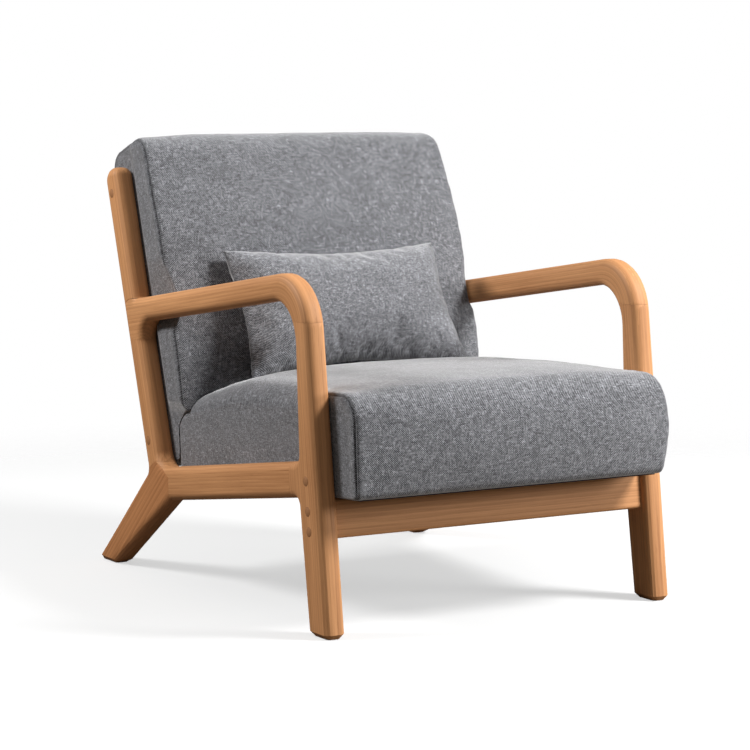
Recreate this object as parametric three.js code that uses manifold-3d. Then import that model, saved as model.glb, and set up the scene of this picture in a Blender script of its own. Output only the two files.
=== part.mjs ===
// Fireside chair: two bent side frames in solid wood, joined by rails, that carry an
// upholstered seat, an upholstered back and a loose lumbar pillow.
// Millimetres and degrees. +X runs across the chair, +Y from the toes to the heels, +Z up.
// Depths in the named values count from the front toes at floor level.
import * as THREE from 'three';
import { mergeVertices } from 'three/addons/utils/BufferGeometryUtils.js';
import Module from 'manifold-3d';

const wasm = await Module();
wasm.setup();

// Fits
const touchGap = 0.3;
const overrun = 20;

// Side frames
const frameGauge = 622;
const stock = 38;
const edgeRound = 14;
const edgeSteps = 4;
const arcStep = 9;

// Front leg, raked so that its toe stands forward
const legRake = 7.5;
const footDepth = 61;
const legDepthUnderRail = 67;
const legDepthOverRail = 58.5;
const legDepthUnderArm = 38.5;

// Arm and side rail, both falling towards the back
const armHeight = 585.5;
const armFall = 8.6;
const armDepth = 42.5;
const railHeight = 284;
const railFall = 8.4;
const railDepth = 57.5;

// Back post and upright, leaning back in one line
const postLean = 18.2;
const postDepth = 45.5;
const postTop = 706;
const seatBehindPost = 59;

// Rear leg, splayed and tapered towards its heel
const heelReach = 319;
const rearFootDepth = 73;
const kneeBelowRail = 96.7;
const hockAhead = 83.5;

// Radii in the plane of the side frame
const armBendRadius = 91;
const armBendInnerRadius = 66;
const rearBendRadius = 34;
const seatCornerRadius = 34;
const legFilletRadius = 14;
const kneeRadius = 16;
const hockRadius = 15;
const postTopRadius = 17;
const postTopRearRadius = 24;
const armRootRadius = 4;
const armEndRadius = 30;
const footEase = 8;

// Glue joints of the side frame
const armJointDrop = 95.5;
const uprightJointDrop = 173.5;
const armEndGap = 0.8;
const armEndBehindPost = 4;
const railJointBehindLeg = 19;
const hockJointRise = 40;
const forkRise = 19;
const forkForward = 33;

// Bolts with wooden plugs over their heads
const plugRadius = 8;
const plugDepth = 7;
const plugCrown = 1.6;
const boltHeadRadius = 6.2;
const boltHeadDepth = 4;
const boltRadius = 3;
const boltPlay = 0.4;
const boltGrip = 34;
const roundSides = 12;
const railBoltRise = 11;
const railBoltSpacing = 31.5;
const seatBoltRise = 22;
const backBoltBelowRail = 44.5;
const backBoltDrop = 45;

// Front rail, set back from the face of the legs by their rounding
const frontRailDrop = 67.5;
const frontRailThickness = 38;
const railEdge = 5;
const railArcStep = 30;

// Cleats inside the side rails that carry the back of the seat
const cleatSetback = 44;
const cleatLength = 140;
const cleatWidth = 30;
const cleatHeight = 20;
const cleatEdge = 2;
const cleatArcStep = 45;

// Seat
const seatFront = -30;
const seatBelowRail = 63.5;
const seatTilt = 3;
const seatDepth = 614;
const seatThickness = 164;
const seatBreak = 385;
const seatRearHeight = 104;
const seatFrontRadius = 42;
const seatBreakRadius = 250;
const seatRearRadius = 58;
const seatBottomRadius = 12;
const seatCrown = 28;
const seatFrontSwell = 5;
const seatBulge = 15;

// Back
const backThickness = 168;
const backForward = 89;
const backAbovePost = 35.9;
const backBelowBolt = 42;
const backBreakDrop = 169;
const backTopSetback = 18;
const backFrontTopRadius = 50;
const backBreakRadius = 400;
const backRearTopRadius = 36;
const backFrontBottomRadius = 20;
const backRearBottomRadius = 12;
const backFrontSwell = 10;
const backTopCrown = 7;
const backBulge = 13;

// Upholstery shared by the seat and the back
const panelEdgeRadius = 7;
const cushionStep = 125;
const cushionArcStep = 22.5;
const clothThickness = 1.6;
const wadding = 9;
const battenThickness = 22;
const seatBattenDepth = 46;
const backBattenDepth = 70;
const backFootBatten = 55;
const strapThickness = 2;
const strapWidth = 60;
const turnUnder = 24;
const sheetThickness = 1;
const sheetMargin = 12;

// Lumbar pillow
const pillowWidth = 420;
const pillowHeight = 236;
const pillowThickness = 118;
const pillowLean = 28;
const pillowSink = 23;
const pillowPress = 2;
const pillowDrawIn = 9;
const pillowTopDrawIn = 16;
const pillowCloth = 1.2;
const zipLength = 260;
const zipWidth = 3.4;
const zipDepth = 7;
const pillowColumns = 12;
const pillowRows = 8;

// Shares of a length
const crossRingShares = [0, 0.4, 0.75];
const edgeRingShares = [0, 0.5, 1];
const capRingShare = 0.55;
const seatBulgeFullness = 1.3;
const backBulgeFullness = 0.5;
const seatStrapShares = [-0.69, -0.23, 0.23, 0.69];
const backStrapShares = [0.2, 0.42, 0.64, 0.86];
const pillowSeatShare = 0.8;
const pillowSwellShare = 0.55;

const wood = { color: 0xb07a45, roughness: 0.42, metalness: 0 };
const darkWood = { color: 0x96623a, roughness: 0.45, metalness: 0 };
const plainWood = { color: 0xc9a574, roughness: 0.8, metalness: 0 };
const cloth = { color: 0x7b7e84, roughness: 0.95, metalness: 0 };
const foamFinish = { color: 0xe6dfc8, roughness: 1, metalness: 0 };
const strapFinish = { color: 0x2d2b28, roughness: 0.9, metalness: 0 };
const steel = { color: 0xa9adb0, roughness: 0.35, metalness: 1 };

const rad = THREE.MathUtils.degToRad;
const tan = (angle) => Math.tan(rad(angle));
const cos = (angle) => Math.cos(rad(angle));
const sin = (angle) => Math.sin(rad(angle));
const { lerp } = THREE.MathUtils;
const point = (depth, height) => new THREE.Vector2(depth, height);

// Places that follow from the sizes above: depths first, then heights
const postStart = seatFront + seatDepth - seatBehindPost;
const heelDepth = postStart + heelReach;
const cleatStart = seatFront + seatDepth - cleatSetback - cleatLength;
const kneeHeight = railHeight - kneeBelowRail;
const seatFrontBottom = railHeight - seatBelowRail;
const frontRailBottom = seatFrontBottom - frontRailDrop;
const railBoltLow = frontRailBottom + railBoltRise;
const railBoltHigh = railBoltLow + railBoltSpacing;
const seatBoltHeight = seatFrontBottom + seatBoltRise;
const backBoltLow = railHeight - backBoltBelowRail;
const backBoltHigh = postTop - backBoltDrop;
const backLength = backBelowBolt + (postTop - backBoltLow) / cos(postLean) + backAbovePost;
const backBreak = backLength - backBreakDrop;
const armJointHeight = armHeight - armJointDrop;
const uprightJointHeight = armHeight - uprightJointDrop;

// A closed geometry as a solid that can be joined and cut.
function solidFrom(geometry) {
  const bare = geometry.clone();
  bare.deleteAttribute('normal');
  bare.deleteAttribute('uv');
  const merged = mergeVertices(bare);
  return new wasm.Manifold(new wasm.Mesh({
    numProp: 3,
    vertProperties: merged.attributes.position.array,
    triVerts: new Uint32Array(merged.index.array),
  }));
}

function geometryFrom(solid) {
  const { vertProperties, triVerts } = solid.getMesh();
  const indexed = new THREE.BufferGeometry();
  indexed.setAttribute('position', new THREE.BufferAttribute(vertProperties, 3));
  indexed.setIndex(new THREE.BufferAttribute(triVerts, 1));
  const geometry = indexed.toNonIndexed();
  geometry.computeVertexNormals();
  return geometry;
}

function meshOf(name, solid, finish) {
  const mesh = new THREE.Mesh(geometryFrom(solid), new THREE.MeshStandardMaterial(finish));
  mesh.name = name;
  return mesh;
}

// Lines of the side view: the steep ones give their depth at a height, the others their
// height at a depth.
const legFront = (height) => height * tan(legRake);
const postFront = (height) => postStart + height * tan(postLean);
const postBack = (height) => postFront(height) + postDepth / cos(postLean);
const armTop = (depth) => armHeight - depth * tan(armFall);
const armUnder = (depth) => armTop(depth) - armDepth / cos(armFall);
const railTop = (depth) => railHeight - depth * tan(railFall);
const railUnder = (depth) => railTop(depth) - railDepth / cos(railFall);

// The back of the front leg tapers in two runs, under and over the side rail.
function taper(lowDepth, lowHeight, highDepth, highHeight) {
  return (height) => {
    const share = (height - lowHeight) / (highHeight - lowHeight);
    return legFront(height) + lerp(lowDepth, highDepth, share);
  };
}
const lowLegBack = taper(footDepth, 0, legDepthUnderRail, railUnder(legDepthUnderRail));
const highLegBack = taper(
  legDepthOverRail,
  railTop(legDepthOverRail),
  legDepthUnderArm,
  armUnder(legDepthUnderArm),
);

// The crossing of a line that gives its depth with one that gives its height.
function crossing(depthAt, heightAt) {
  const start = depthAt(0);
  const slope = depthAt(1) - start;
  const rise = heightAt(1) - heightAt(0);
  const height = (heightAt(0) + rise * start) / (1 - rise * slope);
  return point(depthAt(height), height);
}

// A closed run of points with each corner rounded to its own radius.
function filleted(corners, step = arcStep) {
  const points = [];
  corners.forEach(([corner, radius], index) => {
    if (!radius) {
      points.push(corner);
      return;
    }
    const back = corners.at(index - 1)[0].clone().sub(corner).normalize();
    const on = corners[(index + 1) % corners.length][0].clone().sub(corner).normalize();
    const turn = Math.PI - Math.acos(back.dot(on));
    const middle = back.clone().add(on).normalize();
    const centre = corner.clone().addScaledVector(middle, radius / Math.cos(turn / 2));
    const spoke = corner.clone().addScaledVector(back, radius * Math.tan(turn / 2)).sub(centre);
    const way = Math.sign(on.cross(back));
    const steps = Math.max(2, Math.round(THREE.MathUtils.radToDeg(turn) / step));
    for (let count = 0; count <= steps; count += 1) {
      const arm = spoke.clone().rotateAround(point(0, 0), (way * turn * count) / steps);
      points.push(arm.add(centre));
    }
  });
  return points;
}

// Stands a plate drawn in the side view upright, so that its thickness runs along X.
const sideView = new THREE.Matrix4().makeBasis(
  new THREE.Vector3(0, 1, 0),
  new THREE.Vector3(0, 0, 1),
  new THREE.Vector3(1, 0, 0),
);

// An outline of the side view carried across the chair, centred on X = 0.
function across(points, width) {
  const shape = new THREE.Shape(points);
  const plate = new THREE.ExtrudeGeometry(shape, { depth: width, bevelEnabled: false });
  return solidFrom(plate.translate(0, 0, -width / 2).applyMatrix4(sideView));
}

// A round pin along X between two places, centred on a point of the side view.
function pin(centre, radius, from, to) {
  const rod = new THREE.CylinderGeometry(radius, radius, Math.abs(to - from), roundSides);
  rod.rotateZ(Math.PI / 2).translate((from + to) / 2, centre.x, centre.y);
  return solidFrom(rod);
}

// Corners of the side frame
const armFrontCorner = crossing(legFront, armTop);
const armRoot = crossing(postFront, armTop);
const knee = point(postBack(kneeHeight), kneeHeight);
const hock = point(knee.x - hockAhead, railUnder(knee.x - hockAhead));

// The rear leg runs from the knee and the hock down to its foot.
const heel = (height) => lerp(heelDepth, knee.x, height / knee.y);
const shin = (height) => lerp(heelDepth - rearFootDepth, hock.x, height / hock.y);

// The whole side frame as one rounded plate with the opening under the arm.
function sideFrame() {
  const outline = filleted([
    [point(legFront(-overrun), -overrun), 0],
    [point(lowLegBack(-overrun), -overrun), 0],
    [crossing(lowLegBack, railUnder), legFilletRadius],
    [hock, hockRadius],
    [point(shin(-overrun), -overrun), 0],
    [point(heel(-overrun), -overrun), 0],
    [knee, kneeRadius],
    [point(postBack(postTop), postTop), postTopRearRadius],
    [point(postFront(postTop), postTop), postTopRadius],
    [armRoot, armRootRadius],
    [armFrontCorner, armBendRadius],
  ]);
  const opening = filleted([
    [crossing(highLegBack, railTop), legFilletRadius],
    [crossing(postFront, railTop), seatCornerRadius],
    [crossing(postFront, armUnder), rearBendRadius],
    [crossing(highLegBack, armUnder), armBendInnerRadius],
  ]);
  const shape = new THREE.Shape(outline);
  shape.holes.push(new THREE.Path(opening));
  const depth = stock - 2 * edgeRound;
  const plate = new THREE.ExtrudeGeometry(shape, {
    depth,
    bevelThickness: edgeRound,
    bevelSize: edgeRound,
    bevelOffset: -edgeRound,
    bevelSegments: edgeSteps,
  });
  return solidFrom(plate.translate(0, 0, -depth / 2).applyMatrix4(sideView));
}

// Glue joints, each as the run of points that the saw follows through the wood.
const fork = point(knee.x - forkForward, knee.y + forkRise);
const hockJoint = point(hock.x, hock.y + hockJointRise);
const armEndDepth = crossing(postBack, armTop).x + armEndBehindPost;
const armEnd = point(armEndDepth, armTop(armEndDepth));
const armEndFoot = point(armEnd.x - armEnd.y * tan(postLean), 0);
const joints = {
  arm: [
    point(legFront(armJointHeight) - overrun, armJointHeight),
    point(highLegBack(armJointHeight) + overrun, armJointHeight),
  ],
  upright: [
    point(postFront(uprightJointHeight) - overrun, uprightJointHeight),
    point(armRoot.x, uprightJointHeight),
  ],
  armEnd: filleted([
    [point(armRoot.x, armRoot.y + overrun), 0],
    [armRoot, 0],
    [armEnd, armEndRadius],
    [armEnd.clone().lerp(armEndFoot, armDepth / armEnd.y), 0],
  ]),
  rail: [
    point(legFront(railHeight) + legDepthUnderRail + railJointBehindLeg, railHeight),
    point(legFront(railUnder(footDepth)) + legDepthUnderRail + railJointBehindLeg,
      railUnder(footDepth) - overrun),
  ],
  seatCorner: [
    point(fork.x - seatCornerRadius - overrun, fork.y),
    fork,
  ],
  fork: [
    fork,
    knee.clone().add(knee.clone().sub(fork).setLength(overrun)),
  ],
  hockTop: [fork, hockJoint],
  hock: [hockJoint, point(hock.x, hock.y - overrun)],
};

// The thin slab that a straight run of a joint takes out of the wood.
function sawCut(from, to, gap) {
  const along = to.clone().sub(from).setLength(gap / 2);
  const aside = point(-along.y, along.x);
  const [start, end] = [from.clone().sub(along), to.clone().add(along)];
  return across([
    start.clone().add(aside),
    start.clone().sub(aside),
    end.clone().sub(aside),
    end.clone().add(aside),
  ], stock + overrun);
}

const sawCuts = (line, gap) => line.slice(1).map((to, index) => sawCut(line[index], to, gap));

// The part of a side frame that lies within a run of points.
function within(frame, points) {
  return frame.intersect(across(points, stock + overrun));
}

// A block that narrows to the eased edge of a foot and follows the slope of its leg.
function footBlock(front, back, slope) {
  const half = point(stock / 2 - footEase, (back - front) / 2 - footEase);
  const corners = [
    [point(-half.x, -half.y), edgeRound - footEase],
    [point(half.x, -half.y), edgeRound - footEase],
    [point(half.x, half.y), edgeRound - footEase],
    [point(-half.x, half.y), edgeRound - footEase],
  ];
  const block = new THREE.ExtrudeGeometry(new THREE.Shape(filleted(corners)), {
    depth: overrun,
    bevelThickness: armHeight,
    bevelSize: armHeight,
    bevelSegments: 1,
  });
  block.translate(0, 0, armHeight);
  block.applyMatrix4(new THREE.Matrix4().makeShear(0, 0, 0, 0, 0, slope));
  return solidFrom(block.translate(0, (front + back) / 2, 0));
}

// The six wooden pieces of one side frame, before they are drilled.
function frameSticks() {
  const cuts = Object.entries(joints)
    .flatMap(([name, line]) => sawCuts(line, name === 'armEnd' ? armEndGap : touchGap));
  const frame = cuts.reduce((solid, cut) => solid.subtract(cut), sideFrame());
  const far = heelDepth + overrun;
  const below = -2 * overrun;
  const middle = point((legDepthUnderRail + postStart) / 2, (railHeight + armJointHeight) / 2);
  const [armIn, armOut] = [joints.arm[1], joints.arm[0]];
  const [railIn, railOut] = joints.rail;
  const uprightIn = joints.upright[0];
  const seatIn = joints.seatCorner[0];
  const kneeOut = joints.fork[1];
  const hockOut = joints.hock[1];
  const post = [
    ...joints.armEnd,
    point(far, joints.armEnd.at(-1).y),
    point(far, far),
    point(armRoot.x - overrun, far),
  ];
  const rearLeg = [
    kneeOut,
    fork,
    hockJoint,
    hockOut,
    point(hock.x, below),
    point(far, below),
    point(far, kneeOut.y),
  ];
  const withoutPost = frame.subtract(across(post, stock + overrun));
  const feet = {
    front: footBlock(0, footDepth, (tan(legRake) + lowLegBack(1) - lowLegBack(0)) / 2),
    rear: footBlock(
      heelDepth - rearFootDepth,
      heelDepth,
      (heel(1) - heel(0) + shin(1) - shin(0)) / 2,
    ),
  };
  return {
    front_leg: within(frame, [
      middle,
      armIn,
      point(-overrun, armOut.y),
      point(-overrun, below),
      point(railOut.x, below),
      railOut,
      railIn,
    ]).intersect(feet.front),
    arm: within(withoutPost, [
      middle,
      point(armIn.x, armIn.y),
      point(-overrun, armIn.y),
      point(-overrun, far),
      point(far, far),
      point(far, uprightIn.y),
      uprightIn,
    ]),
    side_rail: within(frame, [
      middle,
      railIn,
      railOut,
      point(railOut.x, 0),
      point(hock.x, 0),
      hockOut,
      hockJoint,
      fork,
      seatIn,
    ]),
    rear_upright: within(withoutPost, [
      middle,
      seatIn,
      fork,
      kneeOut,
      point(far, kneeOut.y),
      point(far, uprightIn.y),
      uprightIn,
    ]),
    rear_leg: within(frame, rearLeg).intersect(feet.rear),
    back_post: within(frame, post),
  };
}

// A point reached from a place on the post by going up along it and back across it.
function alongPost(start, up, rearward) {
  return point(
    start.x + up * sin(postLean) + rearward * cos(postLean),
    start.y + up * cos(postLean) - rearward * sin(postLean),
  );
}

// Centre lines that the bolts lie on
const frontRailFace = (height) => legFront(height) + edgeRound;
const frontRailBack = (height) => frontRailFace(height) + frontRailThickness / cos(legRake);
const inFrontRail = (height) => point((frontRailFace(height) + frontRailBack(height)) / 2, height);
const inPost = (height) => point((postFront(height) + postBack(height)) / 2, height);

// Every bolt of one side: the stick that it goes through and its place.
const boltPlaces = {
  front_rail_low: { stick: 'front_leg', at: inFrontRail(railBoltLow) },
  front_rail_high: { stick: 'front_leg', at: inFrontRail(railBoltHigh) },
  seat: { stick: 'front_leg', at: inFrontRail(seatBoltHeight) },
  back_low: { stick: 'rear_upright', at: inPost(backBoltLow) },
  back_high: { stick: 'back_post', at: inPost(backBoltHigh) },
};

// Places along X, counted from the middle of a side frame outwards.
const outerFace = stock / 2;
const plugSeat = outerFace - plugDepth;
const headSeat = plugSeat - boltHeadDepth - touchGap;
const innerSpan = frameGauge - stock - 2 * touchGap;

// The stepped hole that takes a bolt, its head and its plug.
function boltHole(at, side) {
  const past = outerFace + overrun;
  const wide = pin(at, plugRadius, side * headSeat, side * past);
  return wide.add(pin(at, boltRadius + boltPlay, -side * past, side * past));
}

// The hole that a bolt needs in whatever lies between the side frames.
function boltSocket(at) {
  const reach = frameGauge / 2 - outerFace - boltGrip - boltHeadDepth;
  const radius = boltRadius + boltPlay;
  return pin(at, radius, reach, frameGauge).add(pin(at, radius, -frameGauge, -reach));
}

// A turned piece that stands on a point of the side view and faces outwards.
function turned(profile, at, inner, side) {
  const lathe = new THREE.LatheGeometry(profile.map(([r, h]) => point(r, h)), roundSides);
  lathe.rotateZ(-Math.PI / 2).translate(inner, 0, 0);
  if (side < 0) lathe.rotateZ(Math.PI);
  return solidFrom(lathe.translate(0, at.x, at.y));
}

function plug(at, side) {
  const radius = plugRadius - touchGap;
  const length = plugDepth - touchGap;
  return turned([
    [0, 0],
    [radius, 0],
    [radius, length],
    [radius * Math.SQRT1_2, length + plugCrown * Math.SQRT1_2],
    [0, length + plugCrown],
  ], at, plugSeat + touchGap, side);
}

function bolt(at, side) {
  const length = boltGrip + stock - plugDepth;
  const shank = length - boltHeadDepth;
  return turned([
    [0, 0],
    [boltRadius, 0],
    [boltRadius, shank],
    [boltHeadRadius, shank],
    [boltHeadRadius, length],
    [0, length],
  ], at, plugSeat - length, side);
}

// Both side frames with their holes, bolts and plugs, each on its own mid plane.
function sideFrames() {
  const group = new THREE.Group();
  const sticks = frameSticks();
  Object.entries({ left: -1, right: 1 }).forEach(([sideName, side]) => {
    const frame = new THREE.Group();
    frame.position.x = (side * frameGauge) / 2;
    Object.entries(sticks).forEach(([name, stick]) => {
      const holes = Object.values(boltPlaces).filter((place) => place.stick === name);
      const drilled = holes.reduce((solid, { at }) => solid.subtract(boltHole(at, side)), stick);
      const finish = name === 'rear_leg' ? darkWood : wood;
      frame.add(meshOf(`${name}_${sideName}`, drilled, finish));
    });
    Object.entries(boltPlaces).forEach(([name, { at }]) => {
      frame.add(meshOf(`${name}_bolt_${sideName}`, bolt(at, side), steel));
      frame.add(meshOf(`${name}_plug_${sideName}`, plug(at, side), wood));
    });
    group.add(frame);
  });
  return group;
}

// The underside of the seat, where the rails meet it.
const underSeat = (depth) => seatFrontBottom
  - (depth - seatFront) * tan(seatTilt)
  - (sheetThickness + 2 * touchGap) / cos(seatTilt);

function frontRail() {
  const section = filleted([
    [point(frontRailFace(frontRailBottom), frontRailBottom), railEdge],
    [point(frontRailBack(frontRailBottom), frontRailBottom), railEdge],
    [crossing(frontRailBack, underSeat), railEdge],
    [crossing(frontRailFace, underSeat), railEdge],
  ], railArcStep);
  return across(section, innerSpan)
    .subtract(boltSocket(boltPlaces.front_rail_low.at))
    .subtract(boltSocket(boltPlaces.front_rail_high.at));
}

// One cleat, tilted with the underside of the seat and fixed to the inside of a side rail.
function seatCleat(side) {
  const low = (depth) => underSeat(depth) - cleatHeight;
  const start = () => cleatStart;
  const end = () => cleatStart + cleatLength;
  const section = filleted([
    [crossing(start, low), cleatEdge],
    [crossing(end, low), cleatEdge],
    [crossing(end, underSeat), cleatEdge],
    [crossing(start, underSeat), cleatEdge],
  ], cleatArcStep);
  const matrix = new THREE.Matrix4().makeTranslation((side * (innerSpan - cleatWidth)) / 2, 0, 0);
  return across(section, cleatWidth).transform(matrix.elements);
}

// Splits the long runs of an outline, so that they can swell.
function divided(points, longest) {
  return points.flatMap((from, index) => {
    const to = points[(index + 1) % points.length];
    const parts = Math.ceil(from.distanceTo(to) / longest);
    return Array.from({ length: parts }, (_, part) => from.clone().lerp(to, part / parts));
  });
}

// A closed skin over rings of points that follow each other along X.
function loft(rings) {
  const count = rings[0].length;
  const last = rings.length - 1;
  const centreOf = (ring) => ring
    .reduce((sum, at) => sum.add(at), new THREE.Vector3())
    .divideScalar(count);
  const positions = [...rings.flat(), centreOf(rings[0]), centreOf(rings[last])];
  const [startPole, endPole] = [rings.length * count, rings.length * count + 1];
  const index = [];
  for (let j = 0; j < count; j += 1) {
    const next = (j + 1) % count;
    index.push(startPole, next, j, endPole, last * count + j, last * count + next);
    for (let i = 0; i < last; i += 1) {
      const [here, there] = [i * count, (i + 1) * count];
      index.push(here + j, here + next, there + j, here + next, there + next, there + j);
    }
  }
  const geometry = new THREE.BufferGeometry().setFromPoints(positions);
  geometry.setIndex(index);
  return geometry;
}

// Seat and back share one kind of form: a rounded outline carried across the chair, with
// a crowned top, a swelling front and bulging sides.
const seat = {
  depth: seatDepth,
  height: seatThickness,
  corners: [
    [point(0, 0), seatBottomRadius],
    [point(seatDepth, 0), seatBottomRadius],
    [point(seatDepth, seatRearHeight), seatRearRadius],
    [point(seatBreak, seatThickness), seatBreakRadius],
    [point(0, seatThickness), seatFrontRadius],
  ],
  crown: seatCrown,
  swell: seatFrontSwell,
  bulge: seatBulge,
  fullness: seatBulgeFullness,
  place: new THREE.Matrix4()
    .makeTranslation(0, seatFront, seatFrontBottom)
    .multiply(new THREE.Matrix4().makeRotationX(-rad(seatTilt))),
};
const backFoot = alongPost(boltPlaces.back_low.at, -backBelowBolt, -postDepth / 2 - backForward);
const back = {
  depth: backThickness,
  height: backLength,
  corners: [
    [point(0, 0), backFrontBottomRadius],
    [point(backThickness, 0), backRearBottomRadius],
    [point(backThickness, backLength), backRearTopRadius],
    [point(backTopSetback, backLength), backFrontTopRadius],
    [point(0, backBreak), backBreakRadius],
  ],
  crown: backTopCrown,
  swell: backFrontSwell,
  bulge: backBulge,
  fullness: backBulgeFullness,
  place: new THREE.Matrix4()
    .makeTranslation(0, backFoot.x, backFoot.y)
    .multiply(new THREE.Matrix4().makeRotationX(-rad(postLean))),
};
const halfWidth = (frameGauge - stock) / 2 - touchGap;

// The outline of a form, moved inwards by an inset.
function cushionOutline({ corners }, inset) {
  const moved = corners.map(([corner, radius], index) => {
    const on = corners[(index + 1) % corners.length][0].clone().sub(corner).normalize();
    const along = corner.clone().sub(corners.at(index - 1)[0]).normalize();
    const inwards = point(-on.y - along.y, on.x + along.x);
    const at = corner.clone().addScaledVector(inwards, inset / (1 + on.dot(along)));
    return [at, radius - inset];
  });
  return divided(filleted(moved, cushionArcStep), cushionStep);
}

// The swelling of a form at a place across it and a place of its outline.
function swollen(form, x, at) {
  const reach = THREE.MathUtils.clamp(at.x / form.depth, 0, 1);
  const rise = THREE.MathUtils.clamp(at.y / form.height, 0, 1);
  const over = 1 - (x / halfWidth) ** 4;
  const alongDepth = 1 - (2 * reach - 1) ** 4;
  const alongHeight = Math.sin(Math.PI * rise);
  return new THREE.Vector3(
    x * (1 + (form.bulge * alongHeight ** form.fullness) / halfWidth),
    at.x - form.swell * over * alongHeight * (1 - reach) ** 2,
    at.y + form.crown * over * alongDepth * rise ** 2,
  );
}

// The form of a cushion, drawn in by an inset on every side.
function cushionForm(form, inset) {
  const reach = halfWidth - inset;
  const straight = halfWidth - panelEdgeRadius;
  const edge = reach - straight;
  const stations = crossRingShares.map((share) => [share * straight, 0]);
  edgeRingShares.forEach((share) => {
    const angle = (share * Math.PI) / 2;
    stations.push([straight + edge * Math.sin(angle), edge * (1 - Math.cos(angle))]);
  });
  const rings = stations.map(([x, pulled]) => cushionOutline(form, inset + pulled)
    .map((at) => swollen(form, x, at)));
  const middle = new THREE.Vector3(reach, form.depth / 2, form.height / 2);
  rings.push(rings.at(-1).map((at) => middle.clone().lerp(at, capRingShare).setX(at.x)));
  const mirrored = rings.slice(1).reverse()
    .map((ring) => ring.map((at) => at.clone().setX(-at.x)));
  const skin = loft([...mirrored, ...rings]);
  return solidFrom(skin.applyMatrix4(form.place));
}

// A block given by its near and far corner in the frame of a cushion.
function blockIn(form, low, high) {
  const size = high.clone().sub(low);
  const block = new THREE.BoxGeometry(size.x, size.y, size.z);
  const middle = low.clone().add(high).divideScalar(2);
  block.translate(middle.x, middle.y, middle.z);
  return solidFrom(block.applyMatrix4(form.place));
}
const corner = (x, depth, height) => new THREE.Vector3(x, depth, height);

// Takes away whatever lies in a part of the side view and beyond the inner faces of the
// side frames.
function squeezed(solid, points, inset) {
  const reach = 2 * (halfWidth - inset);
  const middle = new THREE.BoxGeometry(reach, 2 * heelDepth, 2 * heelDepth);
  return solid.subtract(across(points, 2 * frameGauge).subtract(solidFrom(middle)));
}

// The legs hold the sides of the seat, so that they bulge only in front of them.
function seatSolid(inset) {
  const clear = touchGap + inset;
  return squeezed(cushionForm(seat, inset), [
    point(legFront(0) - clear, 0),
    point(heelDepth, 0),
    point(heelDepth, armHeight),
    point(legFront(armHeight) - clear, armHeight),
  ], inset);
}

// The posts and arms hold the sides of the back, and its foot gives way to the seat.
function backSolid(inset) {
  const clear = touchGap + inset;
  const armStart = armRoot.x - backThickness;
  const underArm = crossing(postFront, armUnder);
  const form = cushionForm(back, inset).subtract(cushionForm(seat, -clear));
  return squeezed(form, filleted([
    [point(postFront(0) - clear, 0), 0],
    [point(heelDepth, 0), 0],
    [point(heelDepth, heelDepth), 0],
    [point(postFront(heelDepth) - clear, heelDepth), 0],
    [point(armRoot.x - clear, armRoot.y + clear), 0],
    [point(armStart, armTop(armStart) + clear), 0],
    [point(armStart, armUnder(armStart) - clear), 0],
    [point(underArm.x - clear, underArm.y - clear), rearBendRadius],
  ]), inset);
}
const foamInset = clothThickness + touchGap;
const frameHalf = halfWidth - wadding;

// Four battens that make the frame of a cushion, as near and far corners.
function seatFrame() {
  const low = clothThickness + touchGap;
  const high = low + seatBattenDepth;
  const [front, rear] = [wadding, seatDepth - wadding];
  const inner = frameHalf - battenThickness;
  const between = inner - touchGap;
  return {
    seat_batten_front: [
      corner(-between, front, low), corner(between, front + battenThickness, high)],
    seat_batten_rear: [
      corner(-between, rear - battenThickness, low), corner(between, rear, high)],
    seat_batten_left: [corner(-frameHalf, front, low), corner(-inner, rear, high)],
    seat_batten_right: [corner(inner, front, low), corner(frameHalf, rear, high)],
  };
}

function seatParts() {
  const group = new THREE.Group();
  const socket = boltSocket(boltPlaces.seat.at);
  const hollow = seatSolid(foamInset);
  Object.entries(seatFrame()).forEach(([name, [low, high]]) => {
    const batten = blockIn(seat, low, high).intersect(hollow).subtract(socket);
    group.add(meshOf(name, batten, plainWood));
  });
  const strapLow = clothThickness + seatBattenDepth + 2 * touchGap;
  const strapHigh = strapLow + strapThickness;
  const reach = frameHalf - battenThickness;
  seatStrapShares.forEach((share, index) => {
    const x = share * reach;
    const strap = blockIn(
      seat,
      corner(x - strapWidth / 2, wadding, strapLow),
      corner(x + strapWidth / 2, seatDepth - wadding, strapHigh),
    );
    group.add(meshOf(`seat_strap_${index + 1}`, strap, strapFinish));
  });
  const clear = touchGap;
  const chamber = blockIn(
    seat,
    corner(-frameHalf - clear, wadding - clear, -overrun),
    corner(frameHalf + clear, seatDepth - wadding + clear, strapHigh + clear),
  );
  const foam = hollow.subtract(chamber).subtract(socket);
  const mouth = blockIn(
    seat,
    corner(turnUnder - halfWidth, turnUnder, -overrun),
    corner(halfWidth - turnUnder, seatDepth - turnUnder, 2 * clothThickness),
  );
  const cover = seatSolid(0).subtract(seatSolid(clothThickness)).subtract(mouth).subtract(socket);
  const sheet = blockIn(
    seat,
    corner(sheetMargin - halfWidth, sheetMargin, -touchGap - sheetThickness),
    corner(halfWidth - sheetMargin, seatDepth - sheetMargin, -touchGap),
  );
  group.add(meshOf('seat_foam', foam, foamFinish));
  group.add(meshOf('seat_cover', cover, cloth));
  group.add(meshOf('seat_dust_sheet', sheet, strapFinish));
  return group;
}

function backFrame() {
  const rear = backThickness - clothThickness - touchGap;
  const front = rear - backBattenDepth;
  const [low, high] = [wadding, backLength - wadding];
  const inner = frameHalf - battenThickness;
  const between = inner - touchGap;
  return {
    back_batten_bottom: [
      corner(-between, front, low), corner(between, rear, low + backFootBatten)],
    back_batten_top: [
      corner(-between, front, high - battenThickness), corner(between, rear, high)],
    back_batten_left: [corner(-frameHalf, front, low), corner(-inner, rear, high)],
    back_batten_right: [corner(inner, front, low), corner(frameHalf, rear, high)],
  };
}

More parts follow.
